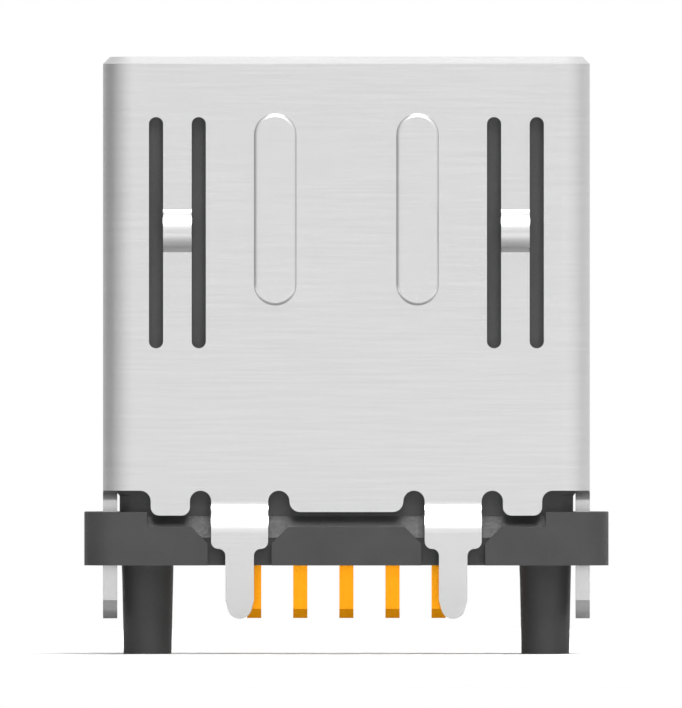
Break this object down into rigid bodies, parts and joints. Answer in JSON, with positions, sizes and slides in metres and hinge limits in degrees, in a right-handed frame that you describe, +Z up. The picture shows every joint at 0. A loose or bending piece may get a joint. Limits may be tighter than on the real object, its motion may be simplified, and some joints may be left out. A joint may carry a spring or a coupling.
{
  "type": "upright micro connector plug for a board",
  "caption": "Upright micro connector for a board: folded metal shell with spring bumps, on a dark moulded flange with locating pegs and solder legs.",
  "frame": {"origin": "on the board plane under the flange, midway between the side walls and midway through the shell's depth", "axes": "+Z up, away from the board and out of the mouth; X along the width; the shell's wide face looks towards -Y"},
  "size_m": [0.0074, 0.0024, 0.0083],
  "materials": {
    "shell_metal": "satin nickel plate on stainless steel strip",
    "housing_plastic": "moulded, fine matt",
    "contact_gold": "gold plated copper alloy"
  },
  "bodies": {
    "root": {"shell": "shell_metal", "housing": "housing_plastic", "contact_1": "contact_gold", "contact_2": "contact_gold", "contact_3": "contact_gold", "contact_4": "contact_gold", "contact_5": "contact_gold"}
  },
  "joints": []
}
